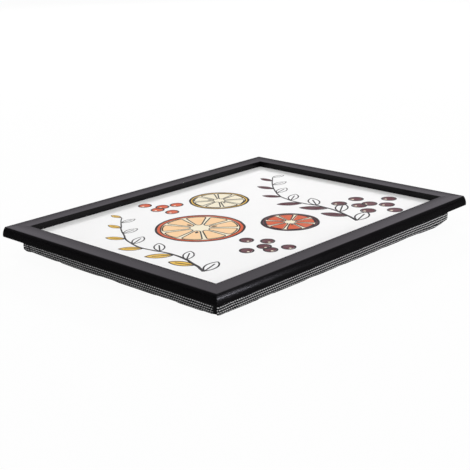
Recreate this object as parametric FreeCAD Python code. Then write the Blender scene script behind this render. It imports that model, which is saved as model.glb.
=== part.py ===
# Lap tray with cushion: a black mitred frame holds a printed board near its rim, and a cloth-covered
# foam cushion on a board of its own is glued into the same rebate from below.
# Sizes are in millimetres. The origin is the middle of the face that the cushion rests on, +X runs along
# the long rails to the user's right, +Y away from the user and +Z up.
import FreeCAD
import Part
import math
import os

Vec = FreeCAD.Vector

# Frame rails
FRAME_LENGTH = 435.0
FRAME_DEPTH = 335.0
RAIL_WIDTH = 22.5
RAIL_HEIGHT = 12.5
RAIL_TOP_CROWN = 0.4
RAIL_SIDE_LEAN = 2.4
RAIL_LEAN_DEPTH = 10.0
RAIL_OUTER_ROUND = 0.9
RAIL_INNER_ROUND = 0.8
RAIL_FOOT_ROUND = 1.4
REBATE_WIDTH = 7.6
WELL_DEPTH = 8.0
MITRE_GAP = 0.1

# V-nails under the mitres
NAIL_LEG = 7.0
NAIL_THICKNESS = 0.7
NAIL_HEIGHT = 7.0
NAIL_SINK = 0.2
NAIL_INSET_SHARES = (0.24, 0.58)

# Printed board
LAMINATE_THICKNESS = 0.4
BOARD_THICKNESS = 3.0
BACKING_THICKNESS = 0.3
BOARD_CLEARANCE = 0.3

# Cushion
CUSHION_DROP = 21.0
COVER_CLEARANCE = 0.3
CLOTH_THICKNESS = 0.8
BASE_BOARD_THICKNESS = 3.0
HEM_WIDTH = 28.0
SIDE_BELLY = 0.9
SIDE_PULL_IN = 0.6
EDGE_ROLL = 5.5
CROWN_RISE = 1.0
CROWN_RUN = 48.0
BAND_CORNER = 4.0
REST_CORNER = 40.0
SIDE_LEVELS = 4
ROLL_LEVELS = 5
CROWN_LEVELS = 10
LOFT_DEGREE = 3

# Staples through the hem
STAPLE_CROWN = 10.0
STAPLE_BITE_SHARE = 0.67
STAPLE_WIRE_WIDTH = 0.9
STAPLE_WIRE_THICKNESS = 0.5
STAPLE_PITCH = 45.0

# Glue between the two boards
GLUE_RADIUS = 22.0
GLUE_PLACE_SHARES = ((-0.62, -0.5), (0.0, -0.5), (0.62, -0.5), (-0.62, 0.5), (0.0, 0.5), (0.62, 0.5))

# How far a cutting block runs past what it cuts
OVERRUN = 5.0

# Heights, from the resting face up
frame_base = CUSHION_DROP
frame_top = frame_base + RAIL_HEIGHT
nail_top = frame_base + NAIL_SINK + NAIL_HEIGHT
laminate_top = frame_top - WELL_DEPTH
board_top = laminate_top - LAMINATE_THICKNESS
backing_top = board_top - BOARD_THICKNESS
hem_top = backing_top - BACKING_THICKNESS
base_board_top = hem_top - CLOTH_THICKNESS
base_board_bottom = base_board_top - BASE_BOARD_THICKNESS
cushion_shoulder = min(base_board_bottom, frame_base)
staple_tip = base_board_top - BASE_BOARD_THICKNESS * STAPLE_BITE_SHARE

# Half sizes in plan
rebate_wall = RAIL_WIDTH - REBATE_WIDTH
rebate_half_x = FRAME_LENGTH / 2 - rebate_wall
rebate_half_y = FRAME_DEPTH / 2 - rebate_wall
cover_half_x = rebate_half_x - COVER_CLEARANCE
cover_half_y = rebate_half_y - COVER_CLEARANCE
base_half_x = cover_half_x - CLOTH_THICKNESS
base_half_y = cover_half_y - CLOTH_THICKNESS
hem_half_x = base_half_x - HEM_WIDTH
hem_half_y = base_half_y - HEM_WIDTH


def line(start, end):
    return Part.LineSegment(start, end).toShape()


def arc(start, middle, end):
    return Part.Arc(start, middle, end).toShape()


def rounded(start, centre, end):
    """Arc from start to end about centre."""
    reach = (start - centre).Length
    middle = centre + ((start + end) / 2 - centre).normalize() * reach
    return arc(start, middle, end)


def block(half_x, half_y, bottom, top):
    """Box centred on the Z axis."""
    corner = Vec(-half_x, -half_y, bottom)
    return Part.makeBox(half_x * 2, half_y * 2, top - bottom, corner)


def plan_prism(points, bottom, top):
    """Prism over a closed plan outline of (x, y) points."""
    corners = [Vec(x, y, bottom) for x, y in points]
    outline = Part.makePolygon(corners + corners[:1])
    return Part.Face(outline).extrude(Vec(0, 0, top - bottom))


def rail_section(x):
    """Rail outline in the plane at x: y runs inward from the outer face."""
    shoulder = frame_top - RAIL_TOP_CROWN
    lean_radius = (RAIL_SIDE_LEAN**2 + RAIL_LEAN_DEPTH**2) / (2 * RAIL_SIDE_LEAN)
    lean_centre = Vec(x, lean_radius, shoulder - RAIL_LEAN_DEPTH)
    outer_rise = RAIL_LEAN_DEPTH - RAIL_OUTER_ROUND
    outer_reach = math.sqrt((lean_radius - RAIL_OUTER_ROUND) ** 2 - outer_rise**2)
    outer_centre = lean_centre + Vec(0, -outer_reach, outer_rise)
    foot_centre = Vec(x, RAIL_FOOT_ROUND, frame_base + RAIL_FOOT_ROUND)
    inner_centre = Vec(x, RAIL_WIDTH - RAIL_INNER_ROUND, shoulder - RAIL_INNER_ROUND)
    foot_under = Vec(x, foot_centre.y, frame_base)
    wall_under = Vec(x, rebate_wall, frame_base)
    wall_top = Vec(x, rebate_wall, laminate_top)
    lip_under = Vec(x, RAIL_WIDTH, laminate_top)
    lip_side = Vec(x, RAIL_WIDTH, inner_centre.z)
    lip_top = Vec(x, inner_centre.y, shoulder)
    rim_top = Vec(x, outer_centre.y, shoulder)
    rim_side = lean_centre + (outer_centre - lean_centre).normalize() * lean_radius
    lean_side = Vec(x, 0, lean_centre.z)
    foot_side = Vec(x, 0, foot_centre.z)
    crown = Vec(x, (lip_top.y + rim_top.y) / 2, frame_top)
    edges = [
        line(foot_under, wall_under),
        line(wall_under, wall_top),
        line(wall_top, lip_under),
        line(lip_under, lip_side),
        rounded(lip_side, inner_centre, lip_top),
        arc(lip_top, crown, rim_top),
        rounded(rim_top, outer_centre, rim_side),
        rounded(rim_side, lean_centre, lean_side),
        line(lean_side, foot_side),
        rounded(foot_side, foot_centre, foot_under),
    ]
    return Part.Wire(edges)


def rail(length, turn, place, slots):
    """Mitred rail of the given outer length, turned about Z and moved to its side of the frame."""
    bar = Part.Face(rail_section(-length / 2)).extrude(Vec(length, 0, 0))
    end = length / 2 - MITRE_GAP / 2
    near = end + OVERRUN
    far = end - RAIL_WIDTH - OVERRUN
    plan = [(-near, -OVERRUN), (near, -OVERRUN), (far, RAIL_WIDTH + OVERRUN), (-far, RAIL_WIDTH + OVERRUN)]
    bar = bar.common(plan_prism(plan, frame_base - OVERRUN, frame_top + OVERRUN))
    bar.rotate(Vec(0, 0, 0), Vec(0, 0, 1), turn)
    bar.translate(place)
    return bar.cut(slots)


def v_nail(side_x, side_y, inset, bottom):
    """V-nail, or its slot, with its bend on a mitre and one leg in each rail."""
    bend = inset
    inner = inset + NAIL_THICKNESS
    tip = inset + NAIL_LEG
    outline = [(bend, bend), (tip, bend), (tip, inner), (inner, inner), (inner, tip), (bend, tip)]
    points = [(side_x * (FRAME_LENGTH / 2 - x), side_y * (FRAME_DEPTH / 2 - y)) for x, y in outline]
    return plan_prism(points, bottom, nail_top)


def corner_v_nails(bottom):
    nails = []
    for side_x in (-1, 1):
        for side_y in (-1, 1):
            for inset_share in NAIL_INSET_SHARES:
                nails.append(v_nail(side_x, side_y, rebate_wall * inset_share, bottom))
    return Part.makeCompound(nails)


def board(bottom, top):
    """Panel of the printed board, clear of the rebate's walls."""
    return block(rebate_half_x - BOARD_CLEARANCE, rebate_half_y - BOARD_CLEARANCE, bottom, top)


def cushion_outline(height, half_x, half_y, radius, pull_in):
    """Rectangle with round corners whose sides are drawn in between them."""
    straight_x = half_x - radius
    straight_y = half_y - radius
    edges = []
    corners = ((1, -1), (1, 1), (-1, 1), (-1, -1))
    for index, (side_x, side_y) in enumerate(corners):
        centre = Vec(side_x * straight_x, side_y * straight_y, height)
        across = Vec(side_x * half_x, side_y * straight_y, height)
        along = Vec(side_x * straight_x, side_y * half_y, height)
        start, end = (along, across) if side_x * side_y < 0 else (across, along)
        edges.append(rounded(start, centre, end))
        next_x, next_y = corners[(index + 1) % len(corners)]
        if next_x == side_x:
            stop = Vec(next_x * half_x, next_y * straight_y, height)
            middle = Vec(side_x * (half_x - pull_in), 0, height)
        else:
            stop = Vec(next_x * straight_x, next_y * half_y, height)
            middle = Vec(0, side_y * (half_y - pull_in), height)
        edges.append(arc(end, middle, stop) if pull_in > 0 else line(end, stop))
    return Part.Wire(edges)


def cushion_levels(cloth):
    """(height, inset) from the base board down the side, round the lower edge and in to the resting face.

    Cloth is the depth below the cover's outer face."""
    knee = CROWN_RISE + EDGE_ROLL
    roll_inset = EDGE_ROLL - SIDE_BELLY
    levels = []
    for index in range(SIDE_LEVELS):
        fall = index / SIDE_LEVELS
        height = cushion_shoulder + (knee - cushion_shoulder) * fall
        levels.append((height, cloth - SIDE_BELLY * math.sin(math.pi / 2 * fall)))
    for index in range(ROLL_LEVELS):
        angle = math.pi / 2 * index / ROLL_LEVELS
        reach = EDGE_ROLL - cloth
        levels.append((knee - reach * math.sin(angle), roll_inset - reach * math.cos(angle)))
    for index in range(CROWN_LEVELS + 1):
        run = index / CROWN_LEVELS
        height = cloth + CROWN_RISE * (1 - run) ** 2
        levels.append((height, roll_inset + (CROWN_RUN - roll_inset) * run))
    return levels


def cushion_form(cloth, top):
    """Crowned cushion with drawn-in sides and a straight band up to top, cloth below the cover's face."""
    levels = cushion_levels(cloth)
    wires = []
    for index, (height, inset) in enumerate(levels):
        fall = index / (len(levels) - 1)
        radius = BAND_CORNER + (REST_CORNER - BAND_CORNER) * fall**3 - cloth
        half_x = cover_half_x - inset
        half_y = cover_half_y - inset
        wires.append(cushion_outline(height, half_x, half_y, radius, SIDE_PULL_IN * fall))
    crown = Part.makeLoft(wires, True, False, False, LOFT_DEGREE)
    band = Part.Face(wires[0]).extrude(Vec(0, 0, top - cushion_shoulder))
    return crown.fuse(band)


def cushion_base_board():
    radius = BAND_CORNER - CLOTH_THICKNESS
    outline = cushion_outline(base_board_bottom, base_half_x, base_half_y, radius, 0)
    return Part.Face(outline).extrude(Vec(0, 0, BASE_BOARD_THICKNESS))


def staple(x, y, turn):
    """Staple with its crown level with the hem and both legs in the base board."""
    half_crown = STAPLE_CROWN / 2
    half_width = STAPLE_WIRE_WIDTH / 2
    wire = block(half_crown, half_width, staple_tip, hem_top)
    between_legs = block(half_crown - STAPLE_WIRE_THICKNESS, half_width + OVERRUN,
                         staple_tip - OVERRUN, hem_top - STAPLE_WIRE_THICKNESS)
    wire = wire.cut(between_legs)
    wire.rotate(Vec(0, 0, 0), Vec(0, 0, 1), turn)
    wire.translate(Vec(x, y, 0))
    return wire


def spaced(half_span):
    """Even places along a side, a staple pitch apart or a little more."""
    count = max(2, int(half_span * 2 / STAPLE_PITCH))
    return [-half_span + half_span * 2 * (index + 0.5) / count for index in range(count)]


def cover_staples():
    row_x = base_half_x - HEM_WIDTH / 2
    row_y = base_half_y - HEM_WIDTH / 2
    staples = []
    for side in (-1, 1):
        staples += [staple(x, side * row_y, 0) for x in spaced(row_x)]
        staples += [staple(side * row_x, y, 90) for y in spaced(row_y)]
    return Part.makeCompound(staples)


def glue_dabs():
    dabs = []
    for x_share, y_share in GLUE_PLACE_SHARES:
        foot = Vec(hem_half_x * x_share, hem_half_y * y_share, base_board_top)
        dabs.append(Part.makeCylinder(GLUE_RADIUS, hem_top - base_board_top, foot))
    return Part.makeCompound(dabs)


slots = corner_v_nails(frame_base - OVERRUN)
staples = cover_staples()
base_board = cushion_base_board()
filling = cushion_form(CLOTH_THICKNESS, base_board_top)
hem_opening = block(hem_half_x, hem_half_y, base_board_top, hem_top + OVERRUN)
cover = cushion_form(0, hem_top).cut(filling).cut(hem_opening)

nodes = {
    "front_rail": rail(FRAME_LENGTH, 0, Vec(0, -FRAME_DEPTH / 2, 0), slots),
    "right_rail": rail(FRAME_DEPTH, 90, Vec(FRAME_LENGTH / 2, 0, 0), slots),
    "back_rail": rail(FRAME_LENGTH, 180, Vec(0, FRAME_DEPTH / 2, 0), slots),
    "left_rail": rail(FRAME_DEPTH, 270, Vec(-FRAME_LENGTH / 2, 0, 0), slots),
    "corner_v_nails": corner_v_nails(frame_base + NAIL_SINK),
    "print_laminate": board(board_top, laminate_top),
    "tray_board": board(backing_top, board_top),
    "backing_sheet": board(hem_top, backing_top),
    "glue_dabs": glue_dabs(),
    "cover_staples": staples,
    "cushion_base_board": base_board.cut(staples),
    "foam_pad": filling.cut(base_board),
    "cushion_cover": cover.cut(staples),
}

os.makedirs("parts", exist_ok=True)
for name, shape in nodes.items():
    shape.exportStep("parts/" + name + ".step")
    print(name, "solids", len(shape.Solids), "volume", round(shape.Volume), "valid", shape.isValid())
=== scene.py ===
# %% [markdown]
# # A lap tray with a cushion
# The tray is a mitred black frame round a white printed board, and a thin cushion in spotted cloth is
# stapled to a hardboard panel and glued below it. The imported CAD model is the fixed frame of this scene:
# every piece is made in its metres and at its place, so nothing has to be fitted by eye.

import math

import bmesh
import bpy
import numpy as np
from mathutils import Matrix, Vector


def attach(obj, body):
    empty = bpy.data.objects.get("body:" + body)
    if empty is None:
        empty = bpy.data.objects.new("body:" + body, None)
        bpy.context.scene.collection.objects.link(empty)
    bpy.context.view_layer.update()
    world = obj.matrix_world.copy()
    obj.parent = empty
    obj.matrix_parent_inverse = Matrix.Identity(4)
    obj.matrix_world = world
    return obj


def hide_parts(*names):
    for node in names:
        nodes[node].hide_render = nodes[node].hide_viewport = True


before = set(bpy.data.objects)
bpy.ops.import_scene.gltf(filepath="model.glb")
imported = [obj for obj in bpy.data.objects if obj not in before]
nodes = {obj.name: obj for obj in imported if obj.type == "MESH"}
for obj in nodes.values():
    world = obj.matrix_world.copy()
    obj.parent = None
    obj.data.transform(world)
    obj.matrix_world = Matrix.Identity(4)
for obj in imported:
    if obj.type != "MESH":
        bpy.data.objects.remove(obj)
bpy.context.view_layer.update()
scene = bpy.context.scene
MM = 0.001


# %% [markdown]
# Node trees are long to write by hand, so small helpers do the wiring. `make` adds a node, sets its options
# and then its inputs, where an input is either a plain value or the socket that feeds it. `fed` and `out` do
# the same in the tree that the feeding sockets belong to. The next few are one node each, and `effect` is an
# empty shader group with named sockets. All but that one serve shader trees and Geometry Nodes trees alike.

# %% Helpers for node trees
FLOAT = "NodeSocketFloat"
VECTOR = "NodeSocketVector"


def make(tree, kind, inputs=None, **options):
    """A new node with its options set and its inputs fed by values or sockets."""
    item = tree.nodes.new(kind)
    for name, value in options.items():
        setattr(item, name, value)
    for key, value in (inputs or {}).items():
        if isinstance(value, bpy.types.NodeSocket):
            tree.links.new(value, item.inputs[key])
        else:
            item.inputs[key].default_value = value
    return item


def fed(kind, inputs, **options):
    """The outputs of a new node in the tree of the sockets that feed it."""
    feeds = [value for value in inputs.values() if isinstance(value, bpy.types.NodeSocket)]
    return make(feeds[0].id_data, kind, inputs, **options).outputs


def out(kind, inputs, **options):
    """The first of such outputs."""
    return fed(kind, inputs, **options)[0]


def link(source, target):
    """Joins two sockets of one tree."""
    target.id_data.links.new(source, target)


def calc(operation, *values):
    """The result of one Math node."""
    return out("ShaderNodeMath", dict(enumerate(values)), operation=operation)


def times(first, *others):
    """The product of two or more values."""
    for other in others:
        first = calc("MULTIPLY", first, other)
    return first


def vector_calc(operation, *values):
    """The result of one Vector Math node."""
    return out("ShaderNodeVectorMath", dict(enumerate(values)), operation=operation)


def split(vector):
    """The three parts of a vector."""
    return fed("ShaderNodeSeparateXYZ", {0: vector})


def ramp(value, start, end, low, high, **options):
    """A clamped ramp from low to high while the value goes from start to end."""
    return out("ShaderNodeMapRange", {0: value, 1: start, 2: end, 3: low, 4: high}, **options)


def between(share, low, high):
    """The number between two, by a share."""
    return out("ShaderNodeMix", {0: share, 2: low, 3: high})


def mixed(share, first, second):
    """The colour between two, by a share."""
    return fed("ShaderNodeMix", {0: share, 6: first, 7: second}, data_type="RGBA")[2]


def sockets(tree, inputs, outputs):
    """Names the sockets of a group and returns its input and output nodes."""
    for label, kind, value in inputs:
        socket = tree.interface.new_socket(label, in_out="INPUT", socket_type=kind)
        if value is not None:
            socket.default_value = value
    for label, kind in outputs:
        tree.interface.new_socket(label, in_out="OUTPUT", socket_type=kind)
    return make(tree, "NodeGroupInput").outputs, make(tree, "NodeGroupOutput").inputs


def effect(name, inputs, outputs):
    """An empty shader group with its input and output sockets."""
    tree = bpy.data.node_groups.new(name, "ShaderNodeTree")
    return tree, *sockets(tree, inputs, outputs)


print("helpers ready")

# %% [markdown]
# Several finishes share the same small effects, so each effect is a node group that is built once. The
# first two are a soft mottle, which lets a roughness or a colour drift a little over the surface, and
# long fine streaks, which are the sanding marks and the fibres that stay visible under thin lacquer. Both
# take a place in metres, so their sizes are real sizes.

# %% Mottle and streak effects
MOTTLE_RANGE = (0.3, 0.7)
BROAD_STREAKS = 0.23

mottle, entry, result = effect(
    "Soft mottle",
    [("Place", VECTOR, None), ("Blotch", FLOAT, 0.01), ("Low", FLOAT, 0.0), ("High", FLOAT, 1.0)],
    [("Value", FLOAT)],
)
scale = calc("DIVIDE", 1.0, entry["Blotch"])
cloud = out("ShaderNodeTexNoise", {"Vector": entry["Place"], "Scale": scale, "Detail": 3.0})
link(ramp(cloud, *MOTTLE_RANGE, entry["Low"], entry["High"]), result["Value"])

streaks, entry, result = effect(
    "Long streaks",
    [("Place", VECTOR, None), ("Stretch", VECTOR, (30.0, 900.0, 900.0))],
    [("Tone", FLOAT), ("Height", FLOAT)],
)
drawn = vector_calc("MULTIPLY", entry["Place"], entry["Stretch"])
fine = out("ShaderNodeTexNoise", {"Vector": drawn, "Scale": 1.0, "Detail": 4.0})
broad = out("ShaderNodeTexNoise", {"Vector": drawn, "Scale": BROAD_STREAKS, "Detail": 2.0})
link(times(calc("ADD", fine, broad), 0.5), result["Tone"])
link(fine, result["Height"])
print("effects:", mottle.name, "and", streaks.name)

# %% [markdown]
# Pressed fibre, paper and foam are all made of small cells or flakes, so one cell effect serves the three
# of them at different sizes. It gives a height for the bump and a tone that differs from cell to cell.

# %% Cell effect
cells, entry, result = effect(
    "Small cells",
    [("Place", VECTOR, None), ("Cell", FLOAT, 0.001)],
    [("Tone", FLOAT), ("Height", FLOAT)],
)
scale = calc("DIVIDE", 1.0, entry["Cell"])
flake = fed("ShaderNodeTexVoronoi", {"Vector": entry["Place"], "Scale": scale})
link(out("ShaderNodeRGBToBW", {0: flake["Color"]}), result["Tone"])
link(flake["Distance"], result["Height"])
print("effect:", cells.name)

# %% [markdown]
# Every material starts in the same way: a Principled shader with its plain numbers set straight on its
# sockets, because numbers that are linked there don't survive the export. `drift` is the mottle placed in a
# material, `tinted` mixes two colours by a mask, and `wire` feeds the shader its colour, its roughness and a
# height as a bump of a stated depth.

# %% Helpers for materials
def finish(name, specular, **numbers):
    """A new material, its shader and the Object coordinates that its patterns read."""
    material = bpy.data.materials.new(name)
    material.use_nodes = True
    tree = material.node_tree
    shader = tree.nodes["Principled BSDF"]
    shader.inputs["Specular IOR Level"].default_value = specular
    for key, value in numbers.items():
        shader.inputs[key.replace("_", " ").title()].default_value = value
    place = make(tree, "ShaderNodeTexCoord").outputs["Object"]
    return material, shader, place


def place_effect(group, **inputs):
    """The outputs of an effect group placed in a material."""
    named = {key.title(): value for key, value in inputs.items()}
    return fed("ShaderNodeGroup", named, node_tree=group)


def drift(place, blotch, low=0.0, high=1.0):
    """A value that drifts between two in blotches of that size in metres."""
    return place_effect(mottle, place=place, blotch=blotch, low=low, high=high)["Value"]


def blended(share, first, second):
    """Two values added up, the first with that share."""
    return calc("MULTIPLY_ADD", first, share, times(second, 1 - share))


def tinted(mask, first, second):
    """Colour between two opaque ones, by a mask."""
    return mixed(mask, (*first, 1.0), (*second, 1.0))


def wire(shader, colour, roughness, height=None, depth=0.0):
    """Feeds the shader's colour and roughness, and its normal by a height of that depth in millimetres."""
    link(colour, shader.inputs["Base Color"])
    link(roughness, shader.inputs["Roughness"])
    if height is not None:
        bump = out("ShaderNodeBump", {"Height": height, "Distance": depth * MM, "Strength": 1.0})
        link(bump, shader.inputs["Normal"])


def dress(material, *names):
    """Gives a material to CAD nodes."""
    for name in names:
        mesh = nodes[name].data
        mesh.materials.clear()
        mesh.materials.append(material)


print("material helpers ready")

# %% [markdown]
# ## The frame's black lacquer
# The rails are wood or fibre moulding under satin black lacquer. The CAD rails already have the right
# section, with the crowned top, the leaning side and the mitres, so they stay and only get their finish. The
# lacquer is almost black, and what the eye reads as its colour is a soft reflection of the room. Fine
# marks run along each rail, so the long and the short rails get the same finish with the streaks turned.
# Its gloss is low, so that it mirrors at a low angle only: grey tops and black sides.

# %% Frame lacquer
LACQUER_DARK = (0.0022, 0.0021, 0.0024)
LACQUER_PALE = (0.0075, 0.0068, 0.0078)
LACQUER_SPECULAR = 0.12
LACQUER_ROUGHNESS = 0.09
STREAK_ROUGHNESS = 0.24
STREAK_RELIEF = 0.1
STREAK_ALONG = 45.0
STREAK_ACROSS = 1400.0


def frame_lacquer(name, stretch):
    """Satin black lacquer with its streaks drawn out along one axis."""
    material, shader, place = finish(name, LACQUER_SPECULAR)
    tone = place_effect(streaks, place=place, stretch=stretch)["Tone"]
    streaked = calc("MULTIPLY_ADD", tone, STREAK_ROUGHNESS, LACQUER_ROUGHNESS)
    rough = calc("ADD", streaked, drift(place, blotch=0.035, low=-0.02, high=0.02))
    wire(shader, tinted(tone, LACQUER_DARK, LACQUER_PALE), rough, tone, STREAK_RELIEF)
    return material


lacquer_long = frame_lacquer("frame_lacquer_long", (STREAK_ALONG, STREAK_ACROSS, STREAK_ACROSS))
lacquer_short = frame_lacquer("frame_lacquer_short", (STREAK_ACROSS, STREAK_ALONG, STREAK_ACROSS))
dress(lacquer_long, "front_rail", "back_rail")
dress(lacquer_short, "left_rail", "right_rail")
print("lacquered rails:", [name for name in nodes if name.endswith("_rail")])

# %% [markdown]
# ## The white laminate
# The tray's surface is a printed sheet under a clear wear layer: white, smooth and satin, with the faint
# orange-peel of a pressed sheet. Its gloss is low, because the photograph shows the shade of the walls on
# it but no mirrored wall. The white stays below full white so that it isn't clipped.

# %% Laminate
LAMINATE_WHITE = (0.90, 0.90, 0.895)
LAMINATE_SHADE = (0.88, 0.88, 0.875)
LAMINATE_SPECULAR = 0.06
CLEAR_LAYER = {"blotch": 0.02, "low": 0.30, "high": 0.38}
PEEL_SIZE = 0.0022
PEEL_RELIEF = 0.004

laminate, shader, place = finish("laminate_white", LAMINATE_SPECULAR)
colour = tinted(drift(place, blotch=0.06), LAMINATE_WHITE, LAMINATE_SHADE)
gloss = drift(place, **CLEAR_LAYER)
wire(shader, colour, gloss, drift(place, PEEL_SIZE), PEEL_RELIEF)
dress(laminate, "print_laminate")
print("laminate on print_laminate")

# %% [markdown]
# ## The hidden boards, paper and fixings
# Inside the sandwich there is fibreboard, a paper backing, hardboard, glue and steel. They hardly show, but
# each one gets its own finish, because the part may be taken to pieces. A small table holds what differs:
# two colours, the size of a flake and the depth of the relief in millimetres, and the range of the roughness.

# %% Boards, paper and glue
PRESSED = {
    "tray_board": ((0.42, 0.29, 0.17), (0.29, 0.19, 0.11), 1.1, 0.05, (0.75, 0.92)),
    "backing_sheet": ((0.66, 0.62, 0.54), (0.58, 0.54, 0.46), 0.7, 0.02, (0.78, 0.92)),
    "cushion_base_board": ((0.17, 0.092, 0.042), (0.10, 0.052, 0.024), 0.9, 0.05, (0.55, 0.8)),
    "glue_dabs": ((0.62, 0.55, 0.36), (0.52, 0.45, 0.28), 4.0, 0.20, (0.22, 0.42)),
}
PRESSED_SPECULAR = 0.35
FLAKE_SHARE = 0.6


def pressed(name, pale, deep, cell, depth, roughness):
    """Flaky or lumpy stuff in two close colours."""
    material, shader, place = finish(name + "_finish", PRESSED_SPECULAR)
    flakes = place_effect(cells, place=place, cell=cell * MM)
    blend = blended(FLAKE_SHARE, flakes["Tone"], drift(place, blotch=0.02))
    dull = drift(place, 0.006, *roughness)
    wire(shader, tinted(blend, pale, deep), dull, flakes["Height"], depth)
    return material


for name, recipe in PRESSED.items():
    dress(pressed(name, *recipe), name)
print("pressed finishes:", list(PRESSED))

# %% [markdown]
# The fixings are steel: V-nails driven across the mitres from below, and the staples that hold the hem. The
# metal is drawn wire and strip, so it takes the streaks again, with a roughness that follows them.

# %% Steel fixings
STEEL_PALE = (0.56, 0.56, 0.55)
STEEL_DEEP = (0.40, 0.40, 0.41)
STEEL_STREAKS = (900.0, 900.0, 9000.0)
STEEL_ROUGHNESS = (0.25, 0.22)
STEEL_RELIEF = 0.01

steel, shader, place = finish("drawn_steel", 0.5, metallic=1.0)
marks = place_effect(streaks, place=place, stretch=STEEL_STREAKS)
colour = tinted(marks["Tone"], STEEL_PALE, STEEL_DEEP)
rough = calc("MULTIPLY_ADD", marks["Tone"], *STEEL_ROUGHNESS)
wire(shader, colour, rough, marks["Height"], STEEL_RELIEF)
dress(steel, "corner_v_nails", "cover_staples")
print("steel on corner_v_nails and cover_staples")

# %% [markdown]
# ## The cushion's form
# The cushion is a thin slab of foam in a cloth cover. Its side hangs almost straight from the board, rolls
# under at the lower edge and runs in to a flat face that lies on the lap. It could be lofted or remeshed,
# but here it is a set of rings round the cushion, from the edge of the resting face out to the hem, because
# rings keep the cloth's own directions: along the edge and down the side. The spots and the folds at the
# corners need both. Each ring is a rectangle with round corners.

# %% Rings of the cushion
CLOTH = 0.8
CROWN_RISE = 1.0
CROWN_RUN = 48.0
EDGE_ROLL = 5.5
SIDE_BELLY = 0.9
SIDE_PULL_IN = 0.6
BAND_CORNER = 4.0
REST_CORNER = 40.0


def node_box(name):
    """The lowest and the highest corner of a CAD node, in millimetres."""
    corners = [nodes[name].matrix_world @ Vector(corner) / MM for corner in nodes[name].bound_box]
    return [Vector(pick(corner[axis] for corner in corners) for axis in range(3)) for pick in (min, max)]


panel_low, panel_high = node_box("cushion_base_board")
BAND_HALF = (panel_high.x + CLOTH, panel_high.y + CLOTH)
SHOULDER = panel_low.z
KNEE = CROWN_RISE + EDGE_ROLL
ROLL_INSET = EDGE_ROLL - SIDE_BELLY
SIDE_LEVELS, ROLL_LEVELS, CROWN_LEVELS = 4, 5, 10
LEVELS = SIDE_LEVELS + ROLL_LEVELS + CROWN_LEVELS
KNEE_FALL = SIDE_LEVELS / LEVELS
ROLL_FALL = (SIDE_LEVELS + ROLL_LEVELS) / LEVELS


def ring(inset, height, fall, depth):
    """Inset, height, corner radius and pull-in of one outline, depth below the cover's face."""
    radius = BAND_CORNER + (REST_CORNER - BAND_CORNER) * fall**3 - depth
    return inset, height, radius, SIDE_PULL_IN * fall


def cushion_rings(depth, crown_steps, roll_steps, side_steps):
    """Rings from the resting face's edge to the shoulder."""
    rings = []
    for step in range(crown_steps + 1):
        run = 1 - step / crown_steps
        inset = ROLL_INSET + (CROWN_RUN - ROLL_INSET) * run
        fall = ROLL_FALL + (1 - ROLL_FALL) * run
        rings.append(ring(inset, depth + CROWN_RISE * (1 - run) ** 2, fall, depth))
    for step in range(1, roll_steps + 1):
        share = 1 - step / roll_steps
        angle = math.pi / 2 * share
        reach = EDGE_ROLL - depth
        fall = KNEE_FALL + (ROLL_FALL - KNEE_FALL) * share
        rings.append(ring(ROLL_INSET - reach * math.cos(angle), KNEE - reach * math.sin(angle), fall, depth))
    for step in range(1, side_steps + 1):
        share = 1 - step / side_steps
        inset = depth - SIDE_BELLY * math.sin(math.pi / 2 * share)
        rings.append(ring(inset, SHOULDER + (KNEE - SHOULDER) * share, KNEE_FALL * share, depth))
    return rings


print("side of the cushion from", KNEE, "up to", round(SHOULDER, 2), "mm")

# %% [markdown]
# The points of a ring are found side by side, each side as two mirrored halves. The columns crowd towards the
# corners, because the folds lie there. Every point also keeps its length of cloth from the middle of its
# side, which is what the cloth map needs later.

# %% Points of a ring
CORNER_TURN = math.pi / 4
CORNER_CROWDING = 1.5
SIDE_CROWDING = 2.2


def half_side(half_u, half_w, radius, pull, corner_steps, side_steps):
    """From a corner's middle to a side's: place along it, reach outwards and length of cloth."""
    straight = half_u - radius
    columns = []
    for step in range(corner_steps):
        angle = CORNER_TURN * (1 - (step / corner_steps) ** CORNER_CROWDING)
        u = straight + radius * math.sin(angle)
        columns.append((u, half_w - radius + radius * math.cos(angle), straight + radius * angle))
    for step in range(side_steps + 1):
        share = math.expm1(SIDE_CROWDING * step / side_steps) / math.expm1(SIDE_CROWDING)
        u = straight * (1 - share)
        columns.append((u, half_w - pull * (1 - (u / straight) ** 2), u))
    return columns


def side_columns(*sizes):
    """A whole side from corner to corner."""
    half = half_side(*sizes)
    return [(-u, w, -cloth) for u, w, cloth in half] + [(u, w, cloth) for u, w, cloth in reversed(half[:-1])]


TURNS = (((1, 0), (0, -1)), ((0, 1), (1, 0)), ((-1, 0), (0, 1)), ((0, -1), (-1, 0)))


def ring_points(shape, corner_steps, side_steps):
    """Points of one ring, side by side: front, right, back and left, with each side's cloth lengths."""
    inset, height, radius, pull = shape
    points, lengths = [], []
    for index, (along, outwards) in enumerate(TURNS):
        long_side = index % 2 == 0
        half_u, half_w = [half - inset for half in (BAND_HALF if long_side else BAND_HALF[::-1])]
        columns = side_columns(half_u, half_w, radius, pull, corner_steps, side_steps[index % 2])
        for u, w, cloth in columns[:-1]:
            x, y = [u * along[axis] + w * outwards[axis] for axis in range(2)]
            points.append((x, y, height))
        lengths.append([cloth for u, w, cloth in columns])
    return points, lengths


print("sides of a ring:", len(TURNS))

# %% [markdown]
# The flat face inside the first ring is filled with a net whose border is that ring. Blending the four
# sides, each by its distance, keeps every line of the net smooth, and the cloth stays all quads.

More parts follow.
